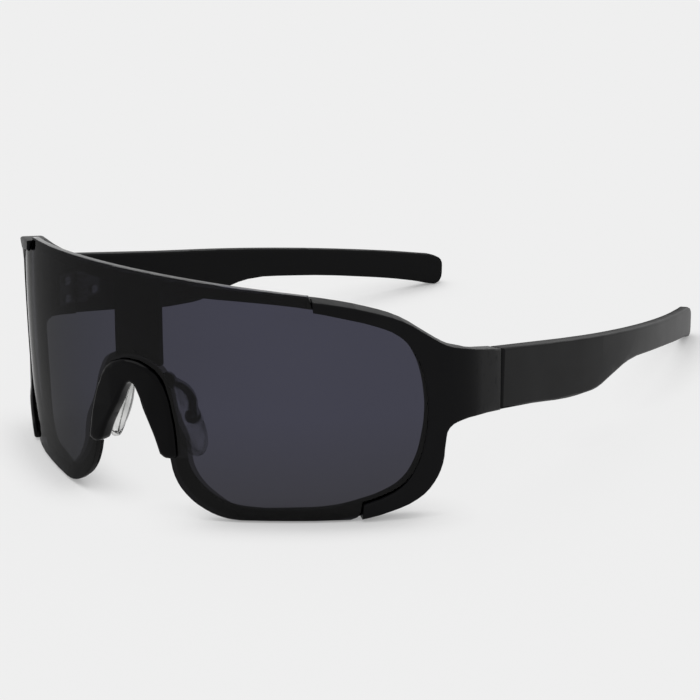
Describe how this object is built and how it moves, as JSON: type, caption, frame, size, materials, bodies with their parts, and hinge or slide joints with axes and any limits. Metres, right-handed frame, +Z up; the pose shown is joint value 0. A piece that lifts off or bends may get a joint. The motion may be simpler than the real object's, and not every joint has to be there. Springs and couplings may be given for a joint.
{
  "type": "wraparound cycling glasses",
  "caption": "Wraparound cycling glasses with a one-piece tinted shield lens, a nose saddle with clear pads, and temples that fold on pinned hinges.",
  "frame": {"origin": "middle of the foot of the whole part's box, at the level of the surface that the open glasses stand on", "axes": "+Z up, the lens faces -Y, the open temples run to +Y, +X is the wearer's left"},
  "size_m": [0.1334, 0.1902, 0.0593],
  "materials": {
    "satin_black": "satin moulded black",
    "matte_black": "matte moulded black",
    "gloss_black": "glossy deep black",
    "tinted_lens": "polished grey-violet tint, clear to look through",
    "clear_silicone": "clear soft silicone",
    "steel": "plain steel hinge hardware"
  },
  "bodies": {
    "front": {"front_frame": "satin_black", "shield_lens": "tinted_lens", "nose_saddle": "gloss_black", "left_nose_pad": "clear_silicone", "left_pad_arm": "gloss_black", "left_front_leaf": "steel", "left_pivot_screw": "steel", "left_front_lower_screw": "steel", "left_front_upper_screw": "steel", "right_nose_pad": "clear_silicone", "right_pad_arm": "gloss_black", "right_front_leaf": "steel", "right_pivot_screw": "steel", "right_front_lower_screw": "steel", "right_front_upper_screw": "steel"},
    "left_temple_arm": {"left_temple": "matte_black", "left_temple_leaf": "steel", "left_temple_lower_screw": "steel", "left_temple_upper_screw": "steel"},
    "right_temple_arm": {"right_temple": "matte_black", "right_temple_leaf": "steel", "right_temple_lower_screw": "steel", "right_temple_upper_screw": "steel"}
  },
  "joints": [
    {"name": "left_temple_fold", "type": "hinge", "parent": "front", "child": "left_temple_arm", "pos_m": [0.06056, -0.0371, 0.02959], "axis": [0, 0, 1], "range_deg": [0, 78]},
    {"name": "right_temple_fold", "type": "hinge", "parent": "front", "child": "right_temple_arm", "pos_m": [-0.06056, -0.0371, 0.02959], "axis": [0, 0, -1], "range_deg": [0, 86]}
  ]
}
